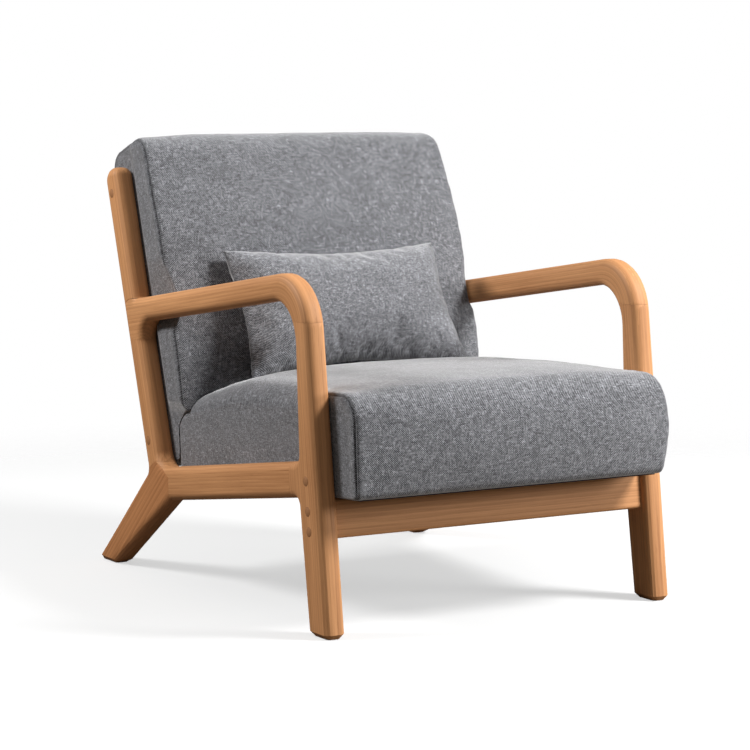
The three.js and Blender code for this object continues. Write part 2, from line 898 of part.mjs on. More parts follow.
function backParts() {
  const group = new THREE.Group();
  const socket = boltSocket(boltPlaces.back_low.at).add(boltSocket(boltPlaces.back_high.at));
  const hollow = backSolid(foamInset);
  Object.entries(backFrame()).forEach(([name, [low, high]]) => {
    const batten = blockIn(back, low, high).intersect(hollow).subtract(socket);
    group.add(meshOf(name, batten, plainWood));
  });
  const strapRear = backThickness - foamInset - backBattenDepth - touchGap;
  const strapFront = strapRear - strapThickness;
  backStrapShares.forEach((share, index) => {
    const middle = share * backLength;
    const strap = blockIn(
      back,
      corner(-frameHalf, strapFront, middle - strapWidth / 2),
      corner(frameHalf, strapRear, middle + strapWidth / 2),
    );
    group.add(meshOf(`back_strap_${index + 1}`, strap, strapFinish));
  });
  const clear = touchGap;
  const chamber = blockIn(
    back,
    corner(-frameHalf - clear, strapFront - clear, wadding - clear),
    corner(frameHalf + clear, backThickness + overrun, backLength - wadding + clear),
  );
  const foam = hollow.subtract(chamber).subtract(socket);
  const mouth = blockIn(
    back,
    corner(turnUnder - halfWidth, backThickness - 2 * clothThickness, turnUnder),
    corner(halfWidth - turnUnder, backThickness + overrun, backLength - turnUnder),
  );
  const cover = backSolid(0).subtract(backSolid(clothThickness)).subtract(mouth).subtract(socket);
  const panel = blockIn(
    back,
    corner(sheetMargin - halfWidth, backThickness + touchGap, backRearBottomRadius),
    corner(
      halfWidth - sheetMargin,
      backThickness + touchGap + sheetThickness,
      backLength - backRearTopRadius,
    ),
  );
  group.add(meshOf('back_foam', foam, foamFinish));
  group.add(meshOf('back_cover', cover, cloth));
  group.add(meshOf('back_panel', panel, cloth));
  return group;
}

// The pillow stands on the seat and leans on the back.
const pillowFoot = seatFront + pillowSeatShare * seatDepth;
const pillowCentreHeight = seatFrontBottom
  + (seatThickness + seatCrown) / cos(seatTilt)
  - (pillowFoot - seatFront) * tan(seatTilt)
  + (pillowHeight / 2) * cos(pillowLean)
  - pillowSink;
const backFace = (height) => backFoot.x + (height - backFoot.y) * tan(postLean);
const pillowCentreDepth = backFace(pillowCentreHeight)
  - pillowThickness / 2 / cos(postLean)
  + pillowPress;
const pillow = {
  place: new THREE.Matrix4()
    .makeTranslation(0, pillowCentreDepth, pillowCentreHeight)
    .multiply(new THREE.Matrix4().makeRotationX(-rad(pillowLean))),
};

// A knife-edged pillow: two swollen faces that meet in a seam, with full corners.
function pillowForm(inset) {
  const half = {
    width: pillowWidth / 2 - inset,
    height: pillowHeight / 2 - inset,
    thickness: pillowThickness / 2 - inset,
  };
  const spread = (step, steps) => Math.sin((Math.PI / 2) * ((2 * step) / steps - 1));
  const positions = [];
  const index = [];
  const rowLength = pillowColumns + 1;
  [-1, 1].forEach((face) => {
    const start = positions.length;
    for (let row = 0; row <= pillowRows; row += 1) {
      for (let column = 0; column <= pillowColumns; column += 1) {
        const [u, v] = [spread(column, pillowColumns), spread(row, pillowRows)];
        const swell = ((1 - u ** 4) * (1 - v ** 4)) ** pillowSwellShare;
        positions.push(new THREE.Vector3(
          u * (half.width - pillowDrawIn * (1 - v ** 2)),
          face * half.thickness * swell,
          v * (half.height - pillowTopDrawIn * (1 - u ** 2)),
        ));
      }
    }
    for (let row = 0; row < pillowRows; row += 1) {
      for (let column = 0; column < pillowColumns; column += 1) {
        const a = start + row * rowLength + column;
        const [b, c, d] = [a + 1, a + rowLength, a + rowLength + 1];
        if (face < 0) index.push(a, b, d, a, d, c);
        else index.push(a, d, b, a, c, d);
      }
    }
  });
  const skin = new THREE.BufferGeometry().setFromPoints(positions);
  skin.setIndex(index);
  return solidFrom(skin.applyMatrix4(pillow.place));
}

const pillowSolid = (inset) => pillowForm(inset)
  .subtract(cushionForm(seat, -touchGap - inset))
  .subtract(cushionForm(back, -touchGap - inset));

function pillowParts() {
  const group = new THREE.Group();
  const seam = -pillowHeight / 2 + pillowTopDrawIn;
  const slot = (clear) => blockIn(
    pillow,
    corner(-zipLength / 2 - clear, -zipWidth / 2 - clear, seam - overrun),
    corner(zipLength / 2 + clear, zipWidth / 2 + clear, seam + zipDepth + clear),
  );
  const opened = slot(touchGap);
  const shell = pillowSolid(0).subtract(pillowSolid(pillowCloth)).subtract(opened);
  const filling = pillowSolid(pillowCloth + touchGap).subtract(opened);
  const zip = slot(0).intersect(pillowSolid(0));
  group.add(meshOf('pillow_cover', shell, cloth));
  group.add(meshOf('pillow_filling', filling, foamFinish));
  group.add(meshOf('pillow_zip', zip, strapFinish));
  return group;
}

const rails = new THREE.Group();
rails.add(
  meshOf('front_rail', frontRail(), wood),
  meshOf('seat_cleat_left', seatCleat(-1), plainWood),
  meshOf('seat_cleat_right', seatCleat(1), plainWood),
);

const chair = new THREE.Group();
chair.add(sideFrames(), rails, seatParts(), backParts(), pillowParts());

// The origin lies on the floor under the middle of the chair.
const box = new THREE.Box3().setFromObject(chair);
chair.position.y = -(box.min.y + box.max.y) / 2;

const fireside = new THREE.Group();
fireside.add(chair);

export default fireside;
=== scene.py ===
import math
import bpy
import numpy as np
from mathutils import Matrix, Vector, noise
from mathutils.bvhtree import BVHTree


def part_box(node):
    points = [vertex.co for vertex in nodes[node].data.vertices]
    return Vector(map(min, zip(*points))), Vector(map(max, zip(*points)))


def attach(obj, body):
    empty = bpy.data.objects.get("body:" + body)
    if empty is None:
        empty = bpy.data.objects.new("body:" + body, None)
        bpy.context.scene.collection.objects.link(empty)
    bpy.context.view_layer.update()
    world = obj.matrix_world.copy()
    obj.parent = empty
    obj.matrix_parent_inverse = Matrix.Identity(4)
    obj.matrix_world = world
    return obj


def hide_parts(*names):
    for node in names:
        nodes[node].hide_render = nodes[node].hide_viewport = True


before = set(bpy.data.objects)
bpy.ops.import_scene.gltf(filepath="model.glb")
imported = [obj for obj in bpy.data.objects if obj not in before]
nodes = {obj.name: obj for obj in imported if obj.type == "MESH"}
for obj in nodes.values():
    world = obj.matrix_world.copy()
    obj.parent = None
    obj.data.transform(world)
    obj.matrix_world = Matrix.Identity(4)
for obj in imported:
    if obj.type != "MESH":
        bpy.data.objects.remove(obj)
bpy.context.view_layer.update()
scene = bpy.context.scene


# The view stands as far off as a long lens needs, left of the chair and a little above
# its back, so that the front left leg comes closest.
LENS = 134.2
CAMERA_PLACE = (-2.41384, -4.11274, 0.90698)
CAMERA_AZIMUTH = math.radians(-30.34)
CAMERA_ELEVATION = math.radians(6.58)

camera_data = bpy.data.cameras.new("camera")
camera_data.lens = LENS
camera = bpy.data.objects.new("camera", camera_data)
scene.collection.objects.link(camera)
camera.location = CAMERA_PLACE
towards_camera = Vector((
    math.sin(CAMERA_AZIMUTH) * math.cos(CAMERA_ELEVATION),
    -math.cos(CAMERA_AZIMUTH) * math.cos(CAMERA_ELEVATION),
    math.sin(CAMERA_ELEVATION),
))
camera.rotation_mode = "QUATERNION"
camera.rotation_quaternion = towards_camera.to_track_quat("Z", "Y")
scene.camera = camera
scene.view_settings.view_transform = "Standard"


# The room is a pale floor that fades into white. A big lamp stands high at the front right,
# a low one beside it lifts the front, a third one shines from the rear left, and a little
# soft light falls from above.
FLOOR_SPAN = 12.0
FADE_FROM = 0.7
FADE_TO = 2.2
FLOOR_COLOUR = (0.86, 0.86, 0.86, 1)
FLOOR_BOUNCE = (0.16, 0.14, 0.12, 1)
LAMPS = {
    "key_lamp": {"place": (1.67, -1.67, 2.27), "size": 0.9, "watts": 112},
    "low_lamp": {"place": (2.15, -2.05, 0.95), "size": 0.9, "watts": 46},
    "side_lamp": {"place": (-2.22, 0.81, 2.27), "size": 0.9, "watts": 72},
}
LAMPS_AIM = Vector((0, 0, 0.35))
SKY_LIGHT = 0.42
LOW_LIGHT = 0.04
SKY_FROM = 0.1
SKY_TO = 0.9
FLOOR_SHARE = 0.42


def put(tree, kind, inputs=(), **settings):
    """A node with its settings, and with each input set, or linked where it is a socket."""
    node = tree.nodes.new(kind)
    for name, value in settings.items():
        setattr(node, name, value)
    for name, value in dict(inputs).items():
        socket = node.inputs[name]
        if isinstance(value, bpy.types.NodeSocket):
            tree.links.new(value, socket)
        else:
            socket.default_value = value
    return node


def new_material(name):
    """An empty node material and its output."""
    material = bpy.data.materials.new(name)
    material.use_nodes = True
    material.node_tree.nodes.clear()
    return material, put(material.node_tree, "ShaderNodeOutputMaterial")


bpy.ops.mesh.primitive_plane_add(size=FLOOR_SPAN, location=(0, 0, 0))
floor = bpy.context.object
floor.name = "floor"
floor_finish, floor_output = new_material("pale_floor")
tree = floor_finish.node_tree
floor_places = put(tree, "ShaderNodeTexCoord")
from_middle = put(tree, "ShaderNodeVectorMath", {0: floor_places.outputs["Object"]},
                  operation="LENGTH")
fade = put(tree, "ShaderNodeMapRange", {
    "Value": from_middle.outputs["Value"], "From Min": FADE_FROM, "From Max": FADE_TO})
fade.interpolation_type = "SMOOTHSTEP"
floor_ray = put(tree, "ShaderNodeLightPath")
floor_tone = put(tree, "ShaderNodeMix", {
    "Factor": floor_ray.outputs["Is Camera Ray"], "A": FLOOR_BOUNCE, "B": FLOOR_COLOUR},
    data_type="RGBA")
matt = put(tree, "ShaderNodeBsdfDiffuse", {"Color": floor_tone.outputs["Result"]})
clear = put(tree, "ShaderNodeBsdfTransparent")
seen_floor = put(tree, "ShaderNodeMapRange", {
    "Value": floor_ray.outputs["Is Camera Ray"], "To Min": 0.0, "To Max": 1 - FLOOR_SHARE})
thinned = put(tree, "ShaderNodeMath", {
    0: fade.outputs["Result"], 1: seen_floor.outputs["Result"]}, operation="MAXIMUM")
mixed = put(tree, "ShaderNodeMixShader", {
    0: thinned.outputs[0], 1: matt.outputs[0], 2: clear.outputs[0]})
tree.links.new(mixed.outputs[0], floor_output.inputs["Surface"])
floor.data.materials.append(floor_finish)

for name, lamp in LAMPS.items():
    data = bpy.data.lights.new(name, "AREA")
    data.shape = "DISK"
    data.size = lamp["size"]
    data.energy = lamp["watts"]
    light = bpy.data.objects.new(name, data)
    scene.collection.objects.link(light)
    light.location = lamp["place"]
    aim = Vector(lamp["place"]) - LAMPS_AIM
    light.rotation_mode = "QUATERNION"
    light.rotation_quaternion = aim.to_track_quat("Z", "Y")

world = bpy.data.worlds.new("room")
scene.world = world
world.use_nodes = True
tree = world.node_tree
tree.nodes.clear()
ray = put(tree, "ShaderNodeLightPath")
seen = put(tree, "ShaderNodeMath", {
    0: ray.outputs["Is Camera Ray"], 1: ray.outputs["Is Transmission Ray"]},
    operation="MAXIMUM")
facing = put(tree, "ShaderNodeSeparateXYZ", {
    0: put(tree, "ShaderNodeTexCoord").outputs["Generated"]})
sky = put(tree, "ShaderNodeMapRange", {
    "Value": facing.outputs["Z"], "From Min": SKY_FROM, "From Max": SKY_TO,
    "To Min": LOW_LIGHT, "To Max": SKY_LIGHT})
strength = put(tree, "ShaderNodeMix", {
    "Factor": seen.outputs[0], "A": sky.outputs["Result"], "B": 1.0}, data_type="FLOAT")
background = put(tree, "ShaderNodeBackground", {
    "Color": (1, 1, 1, 1), "Strength": strength.outputs["Result"]})
room_output = put(tree, "ShaderNodeOutputWorld")
tree.links.new(background.outputs[0], room_output.inputs["Surface"])


# The side frames and the front rail are sawn from a fine-grained hardwood, oiled to a satin
# honey tone. Each stick keeps its own grain direction, and the grain of an arm follows its bend.
CRISP_ANGLE = math.radians(35)
FRAME_TONES = ((0.36, 0.153, 0.058, 1), (0.72, 0.360, 0.158, 1))
LEG_TONES = ((0.30, 0.118, 0.042, 1), (0.61, 0.275, 0.112, 1))
ARM_FALL = math.radians(8.6)
RAIL_FALL = math.radians(8.4)
LEG_RAKE = math.radians(7.5)
POST_LEAN = math.radians(18.2)
HEEL_FALL = math.radians(41.8)
ARM_BEND = (-0.2493, 0.4702)
ARM_CORE = 0.075
RAIL_PITH = (0.02, 9.1, 0.07)
PITH_ASIDE = 0.012
PITH_BELOW = 0.062
NEXT_STICK = (0.011, 1.37)
OTHER_SIDE = (0.03, 0.71)
NEXT_LAYER = 0.009
LAYERS = 5
STICKS = {
    "arm": (-ARM_FALL, FRAME_TONES),
    "front_leg": (math.pi / 2 - LEG_RAKE, FRAME_TONES),
    "side_rail": (-RAIL_FALL, FRAME_TONES),
    "rear_upright": (math.pi / 2 - POST_LEAN, FRAME_TONES),
    "back_post": (math.pi / 2 - POST_LEAN, FRAME_TONES),
    "rear_leg": (-HEEL_FALL, LEG_TONES),
}


def sum_of(tree, operation, first, second=0.0, third=0.0):
    """The result of one sum on numbers or sockets."""
    return put(tree, "ShaderNodeMath", {0: first, 1: second, 2: third},
               operation=operation).outputs[0]


def blended(tree, patterns):
    """A tone made up of patterns, each with its strength and its offset."""
    tone = 0.0
    for pattern, strength, offset in patterns:
        part = sum_of(tree, "MULTIPLY_ADD", pattern, strength, offset)
        tone = sum_of(tree, "ADD", tone, part)
    return tone


def grain_round_bend(tree, places):
    """Places unrolled along an arm: across it, along it and up through it."""
    split = put(tree, "ShaderNodeSeparateXYZ", {0: places})
    depth = sum_of(tree, "SUBTRACT", split.outputs["Y"], ARM_BEND[0])
    height = sum_of(tree, "SUBTRACT", split.outputs["Z"], ARM_BEND[1])
    ahead = sum_of(tree, "SUBTRACT",
                  sum_of(tree, "MULTIPLY", height, math.sin(LEG_RAKE)),
                  sum_of(tree, "MULTIPLY", depth, math.cos(LEG_RAKE)))
    above = sum_of(tree, "ADD",
                  sum_of(tree, "MULTIPLY", depth, math.sin(ARM_FALL)),
                  sum_of(tree, "MULTIPLY", height, math.cos(ARM_FALL)))
    outwards = put(tree, "ShaderNodeCombineXYZ", {
        "X": sum_of(tree, "MAXIMUM", ahead), "Y": sum_of(tree, "MAXIMUM", above)})
    rounded_part = put(tree, "ShaderNodeVectorMath", {0: outwards.outputs[0]},
                       operation="LENGTH").outputs["Value"]
    through = sum_of(tree, "ADD", rounded_part,
                    sum_of(tree, "MINIMUM", sum_of(tree, "MAXIMUM", ahead, above)))
    along = sum_of(tree, "SUBTRACT",
                  sum_of(tree, "MAXIMUM", sum_of(tree, "MULTIPLY", ahead, -1.0)),
                  sum_of(tree, "MAXIMUM", sum_of(tree, "MULTIPLY", above, -1.0)))
    return put(tree, "ShaderNodeCombineXYZ", {
        "X": split.outputs["X"], "Y": along, "Z": through}).outputs[0]


def wood(name, tones, turn, middle, pith, bent=False):
    """Satin wood whose grain runs along Y once turned, with its pith off to one side."""
    material, output = new_material(name)
    tree = material.node_tree
    places = put(tree, "ShaderNodeTexCoord").outputs["Object"]
    if bent:
        places = grain_round_bend(tree, places)
        shift = Vector(pith) - Vector((middle.x, 0, ARM_CORE))
    else:
        shift = Vector(pith) - turn.to_matrix() @ middle
    mapped = put(tree, "ShaderNodeMapping", {
        "Vector": places, "Rotation": turn, "Location": shift}).outputs[0]

    def stretched(scale, detail=3.0, roughness=0.55):
        spread = put(tree, "ShaderNodeVectorMath", {0: mapped, 1: scale}, operation="MULTIPLY")
        return put(tree, "ShaderNodeTexNoise", {
            "Vector": spread.outputs[0], "Scale": 1.0, "Detail": detail,
            "Roughness": roughness}).outputs[0]

    squashed = put(tree, "ShaderNodeVectorMath", {0: mapped, 1: (1.0, 0.07, 1.0)},
                   operation="MULTIPLY")
    rings = put(tree, "ShaderNodeTexWave", {
        "Vector": squashed.outputs[0], "Scale": 52.0, "Distortion": 4.5, "Detail": 3.0,
        "Detail Scale": 0.55, "Detail Roughness": 0.6}, wave_type="RINGS",
        rings_direction="Y", wave_profile="SAW").outputs["Fac"]
    fibres = stretched((420.0, 9.0, 420.0))
    streaks = stretched((60.0, 2.2, 60.0), detail=2.0)
    lines = stretched((240.0, 3.5, 240.0), detail=2.0)
    clouds = stretched((9.0, 3.0, 9.0), detail=1.0)
    pores = put(tree, "ShaderNodeMapRange", {
        "Value": stretched((1500.0, 42.0, 1500.0), detail=1.0), "From Min": 0.60,
        "From Max": 0.72}).outputs["Result"]
    tone = blended(tree, (
        (rings, 0.30, -0.15), (fibres, 0.70, -0.35), (streaks, 0.45, -0.225),
        (lines, 0.6, -0.3), (clouds, 0.6, 0.24), (pores, -0.16, 0.0)))
    colour = put(tree, "ShaderNodeMix", {
        "Factor": tone, "A": tones[0], "B": tones[1]}, data_type="RGBA")
    relief = put(tree, "ShaderNodeBump", {
        "Strength": 0.25, "Distance": 0.0004,
        "Height": sum_of(tree, "SUBTRACT", fibres, pores)})
    satin = put(tree, "ShaderNodeMapRange", {
        "Value": fibres, "To Min": 0.48, "To Max": 0.62})
    finish = put(tree, "ShaderNodeBsdfPrincipled", {
        "Base Color": colour.outputs["Result"], "Roughness": satin.outputs["Result"],
        "Normal": relief.outputs[0]})
    finish.inputs["Specular IOR Level"].default_value = 0.22
    tree.links.new(finish.outputs[0], output.inputs["Surface"])
    return material


def alone(piece):
    """Selects one piece, so that Blender's tools act on nothing else."""
    bpy.ops.object.select_all(action="DESELECT")
    piece.select_set(True)
    bpy.context.view_layer.objects.active = piece


def eased(piece):
    """Shows a sawn piece with its rounded edges smooth and its joint faces crisp."""
    piece.modifiers.new("joined", "WELD").merge_threshold = 0.00001
    alone(piece)
    bpy.ops.object.shade_smooth()
    split = piece.modifiers.new("crisp", "EDGE_SPLIT")
    split.split_angle = CRISP_ANGLE
    piece.modifiers.new("even", "WEIGHTED_NORMAL")


def finished(piece, material):
    """Gives a piece its one material."""
    piece.data.materials.clear()
    piece.data.materials.append(material)


def middle_of(piece_name):
    """The middle of the box round a piece of the frame."""
    low, high = (Vector(corner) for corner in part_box(piece_name))
    return (low + high) / 2


# Every stick is sawn from another part of the log, so its rings are its own.
for order, (stick, (slope, tones)) in enumerate(STICKS.items()):
    for side, name in enumerate((stick + "_left", stick + "_right")):
        piece = nodes[name]
        turn = Matrix.Rotation(-slope, 3, "X").to_euler()
        pith = (PITH_ASIDE + NEXT_STICK[0] * order - OTHER_SIDE[0] * side,
                NEXT_STICK[1] * order + OTHER_SIDE[1] * side,
                PITH_BELOW + NEXT_LAYER * ((order * 3 + side * 2) % LAYERS))
        if stick == "arm":
            turn = Matrix.Identity(3).to_euler()
        eased(piece)
        grain = wood("wood_" + name, tones, turn, middle_of(name), pith, bent=stick == "arm")
        finished(piece, grain)

rail = nodes["front_rail"]
eased(rail)
crosswise = Matrix.Rotation(math.pi / 2, 3, "Z").to_euler()
grain = wood("wood_front_rail", FRAME_TONES, crosswise, middle_of("front_rail"), RAIL_PITH)
finished(rail, grain)


# Turned plugs of a darker piece of the same wood cap the bolt heads, their tone darkened further
# as painted shade on their domes, and plain battens and cleats, which nobody sees, carry the
# upholstery inside.
PLUG_WOOD_AND_SHADE_TONES = ((0.20, 0.085, 0.034, 1), (0.42, 0.20, 0.088, 1))
PLUG_TURN = 1.2
BATTEN_TONES = ((0.52, 0.37, 0.20, 1), (0.74, 0.58, 0.37, 1))
CORE_PITH = (0.0, 3.3, 0.04)

for name, piece in nodes.items():
    kind = None
    if "_plug_" in name:
        turn = Matrix.Rotation(PLUG_TURN, 3, "X").to_euler()
        kind, tones = "plug_wood", PLUG_WOOD_AND_SHADE_TONES
    elif "batten" in name or "cleat" in name:
        turn = crosswise
        kind, tones = "batten_wood", BATTEN_TONES
    if kind:
        eased(piece)
        grain = wood("wood_" + name, tones, turn, middle_of(name), CORE_PITH)
        finished(piece, grain)


# The bolts are plain zinc-plated steel, and the straps across the battens black elastic
# webbing.
steel, steel_output = new_material("zinc_plated_steel")
tree = steel.node_tree
places = put(tree, "ShaderNodeTexCoord").outputs["Object"]
spangle = put(tree, "ShaderNodeTexNoise", {"Vector": places, "Scale": 900.0})
dulled = put(tree, "ShaderNodeMapRange", {
    "Value": spangle.outputs[0], "To Min": 0.3, "To Max": 0.5})
zinc = put(tree, "ShaderNodeBsdfPrincipled", {
    "Base Color": (0.62, 0.63, 0.64, 1), "Metallic": 1.0,
    "Roughness": dulled.outputs["Result"]})
tree.links.new(zinc.outputs[0], steel_output.inputs["Surface"])

webbing, webbing_output = new_material("black_webbing")
tree = webbing.node_tree
places = put(tree, "ShaderNodeTexCoord").outputs["Object"]
ribs = put(tree, "ShaderNodeTexWave", {"Vector": places, "Scale": 160.0},
           wave_type="BANDS", bands_direction="X")
ribbed = put(tree, "ShaderNodeMix", {
    "Factor": ribs.outputs["Fac"], "A": (0.012, 0.012, 0.012, 1),
    "B": (0.035, 0.034, 0.032, 1)}, data_type="RGBA")
elastic = put(tree, "ShaderNodeBsdfPrincipled", {
    "Base Color": ribbed.outputs["Result"], "Roughness": 0.85})
tree.links.new(elastic.outputs[0], webbing_output.inputs["Surface"])

for name, piece in nodes.items():
    if "_bolt_" in name:
        eased(piece)
        finished(piece, steel)
    elif "_strap_" in name:
        eased(piece)
        finished(piece, webbing)


# Seat and back are covered in one grey melange cloth: a wrap panel runs over the front, the
# top and the bottom of the foam, and a flat panel closes each side, with a plain seam
# pulled in between the two. The side panels bulge only where the side frames leave room.
HALF_WIDTH = 0.2917
EDGE_RADIUS = 0.007
TOE = 0.402957
RING_STEP = 0.0045
SEAM_RINGS = 6
SEAM_RING_STEP = 0.001
WRAP_RING_GROWTH = 0.12
PANEL_RING_GROWTH = 0.3
SPINE_SHARE = 0.92
INNERMOST_SHARE = 0.93
SEAM_SHARE = 0.625
SEAM_MARK = -EDGE_RADIUS * SEAM_SHARE * math.pi / 2
SEAM_DEPTH = 0.0026
SEAM_WIDTH = 0.0014
PUFF_HEIGHT = 0.0009
PUFF_REACH = 0.011
PUFF_SPREAD = 0.008
PUCKER_REACH = 0.016
PUCKER_SHARE = 0.35
PUCKERS = 75.0
NOISE_APART = (3.7, 1.3, 7.9)
SLACK = ((0.0016, 7.0), (0.0006, 26.0))
HIDDEN_RIM = 0.003
RIM_FADE = 0.02
BEHIND_LEG = 0.075
BEHIND_FADE = 0.11
SHOULDER = 0.040
SHOULDER_FALL = 0.026
SHOULDER_FROM = 0.3
SHOULDER_BLEND = 0.6
SHOULDER_SEAM_LOSS = 0.75
SEAT_CREST = 0.290
ARM_TOP = 0.5855
ARM_THICKNESS = 0.038
POST_FRONT = 0.525
MOST_BULGE = 0.02
BULGE_FROM = 0.006
BULGE_FADE = 0.05
ARM_OVERHANG_SHARE = 0.4
SIDE_CUT_AT = 1.0
CLOTH_TONES = ((0.018, 0.018, 0.020, 1), (0.475, 0.481, 0.512, 1))
# Painted shade: seam grooves, the pillow's edge and hem folds are darkened towards this
# near-black tone.
SEAM_SHADE_TONE = (0.02, 0.02, 0.022, 1)
PAINTED_SEAM_SHADE = 0.75
YARN = 0.0017
YARN_JUMP = 7.31
FLECKS = 95.0
WEFT_APART = 40.0


def cloth_material(name, painted_lightness=1.0):
    """Plain weave of melange yarns: light and dark fibres, slubs and a soft sheen."""
    material, output = new_material(name)
    tree = material.node_tree
    cut = put(tree, "ShaderNodeUVMap", uv_map="cloth").outputs[0]
    split = put(tree, "ShaderNodeSeparateXYZ", {0: cut})

    def uneven(places, detail=1.0):
        return put(tree, "ShaderNodeTexNoise", {
            "Vector": places, "Scale": 1.0, "Detail": detail}).outputs[0]

    def ridge(socket):
        turned = sum_of(tree, "MULTIPLY", socket, math.pi / YARN)
        return sum_of(tree, "ABSOLUTE", sum_of(tree, "SINE", turned))

    def slubs(socket):
        return put(tree, "ShaderNodeMapRange", {
            "Value": socket, "From Min": 0.56, "From Max": 0.78}).outputs["Result"]

    across = sum_of(tree, "FLOOR", sum_of(tree, "DIVIDE", split.outputs["X"], YARN))
    up = sum_of(tree, "FLOOR", sum_of(tree, "DIVIDE", split.outputs["Y"], YARN))
    odd = sum_of(tree, "PINGPONG", sum_of(tree, "ADD", across, up), 1.0)
    crossing = put(tree, "ShaderNodeCombineXYZ", {"X": across, "Y": up}).outputs[0]
    speckle = put(tree, "ShaderNodeTexWhiteNoise", {"Vector": crossing}).outputs["Value"]
    warp = uneven(put(tree, "ShaderNodeCombineXYZ", {
        "X": sum_of(tree, "MULTIPLY", across, YARN_JUMP),
        "Y": sum_of(tree, "MULTIPLY", split.outputs["Y"], FLECKS)}).outputs[0])
    weft = uneven(put(tree, "ShaderNodeCombineXYZ", {
        "X": sum_of(tree, "MULTIPLY", split.outputs["X"], FLECKS),
        "Y": sum_of(tree, "MULTIPLY", up, YARN_JUMP), "Z": WEFT_APART}).outputs[0])
    on_top = put(tree, "ShaderNodeMix", {
        "Factor": odd, "A": warp, "B": weft}, data_type="FLOAT").outputs["Result"]
    long_yarns = sum_of(tree, "ADD", slubs(warp), slubs(weft))
    patches = uneven(put(tree, "ShaderNodeVectorMath", {0: cut, 1: (16.0, 16.0, 1.0)},
                         operation="MULTIPLY").outputs[0], detail=2.0)
    tone = blended(tree, (
        (on_top, 0.35, -0.175), (warp, 0.35, -0.175), (weft, 0.35, -0.175),
        (speckle, 0.28, -0.14), (long_yarns, 0.12, 0.265), (patches, 0.14, -0.07),
        (odd, 0.48, -0.24)))
    colour = put(tree, "ShaderNodeMix", {
        "Factor": tone, "A": CLOTH_TONES[0], "B": CLOTH_TONES[1]}, data_type="RGBA")
    # The seam attribute is painted shade, mixing the cloth towards a near-black tone along seams
    # and hem folds.
    seam = put(tree, "ShaderNodeAttribute", attribute_name="seam").outputs["Fac"]
    shaded = put(tree, "ShaderNodeMix", {
        "Factor": sum_of(tree, "MULTIPLY", seam, PAINTED_SEAM_SHADE),
        "A": colour.outputs["Result"], "B": SEAM_SHADE_TONE}, data_type="RGBA")
    # A lightness above 1 gives a lighter copy of the cloth, painted light.
    toned = put(tree, "ShaderNodeVectorMath", {
        0: shaded.outputs["Result"], 1: (painted_lightness, painted_lightness, painted_lightness)}, operation="MULTIPLY")
    height = sum_of(tree, "MULTIPLY", ridge(split.outputs["X"]), ridge(split.outputs["Y"]))
    height = sum_of(tree, "MULTIPLY_ADD", on_top, 0.8, height)
    relief = put(tree, "ShaderNodeBump", {
        "Strength": 0.3, "Distance": 0.0003, "Height": height})
    finish = put(tree, "ShaderNodeBsdfPrincipled", {
        "Base Color": toned.outputs[0], "Roughness": 0.92, "Normal": relief.outputs[0],
        "Sheen Weight": 0.65, "Sheen Roughness": 0.4})
    finish.inputs["Specular IOR Level"].default_value = 0.15
    tree.links.new(finish.outputs[0], output.inputs["Surface"])
    return material


def rounded(corners, steps=10):
    """The outline of a side panel, each of its corners rounded to its own radius."""
    points = []
    for index, (corner, radius) in enumerate(corners):
        corner = Vector(corner)
        back = (Vector(corners[index - 1][0]) - corner).normalized()
        on = (Vector(corners[(index + 1) % len(corners)][0]) - corner).normalized()
        turn = math.pi - back.angle(on)
        middle = corner + (back + on).normalized() * (radius / math.cos(turn / 2))
        spoke = corner + back * (radius * math.tan(turn / 2)) - middle
        way = 1 if on.x * back.y - on.y * back.x > 0 else -1
        for step in range(steps + 1):
            turned = Matrix.Rotation(way * turn * step / steps, 2) @ spoke
            points.append(middle + turned)
    return np.array(points)


def inset_corners(corners, inset):
    """The corners of a side panel drawn in by one distance all round."""
    moved = []
    for index, (corner, radius) in enumerate(corners):
        corner = Vector(corner)
        on = (Vector(corners[(index + 1) % len(corners)][0]) - corner).normalized()
        along = (corner - Vector(corners[index - 1][0])).normalized()
        inwards = Vector((-on.y - along.y, on.x + along.x))
        moved.append((corner + inwards * (inset / (1 + on.dot(along))), radius - inset))
    return moved


def evenly(points, count):
    """A closed run of points shared out in equal steps, and the step."""
    closed = np.vstack([points, points[:1]])
    runs = np.concatenate([[0], np.cumsum(np.linalg.norm(np.diff(closed, axis=0), axis=1))])
    places = np.linspace(0, runs[-1], count, endpoint=False)
    spread = np.stack([np.interp(places, runs, closed[:, axis]) for axis in (0, 1)], axis=1)
    return spread, runs[-1] / count


def smooth(value):
    """A step from 0 to 1 with soft ends."""
    value = np.clip(value, 0, 1)
    return value * value * (3 - 2 * value)


def swollen(form, x, flat):
    """A place of the form's outline, moved out by crown, swelling front and bulging side."""
    reach = np.clip(flat[:, 0] / form["depth"], 0, 1)
    rise = np.clip(flat[:, 1] / form["height"], 0, 1)
    over = 1 - abs(x / HALF_WIDTH) ** form["flatness"]
    bulge = form["bulge"][0 if x < 0 else 1] / HALF_WIDTH
    along_height = np.sin(math.pi * rise)
    return np.stack([
        x * (1 + bulge * along_height ** form["fullness"]),
        flat[:, 0] - form["swell"] * over * along_height * (1 - reach) ** 2,
        flat[:, 1] + form["crown"] * over * (1 - (2 * reach - 1) ** 4) * rise ** 2,
    ], axis=1)


def placed(form, points):
    """From a form's own width, depth and height into the chair's frame."""
    lean = form["lean"]
    width, depth, height = points[..., 0], points[..., 1], points[..., 2]
    return np.stack([
        width,
        form["place"][0] + depth * math.cos(lean) + height * math.sin(lean),
        form["place"][1] - depth * math.sin(lean) + height * math.cos(lean),
    ], axis=-1)


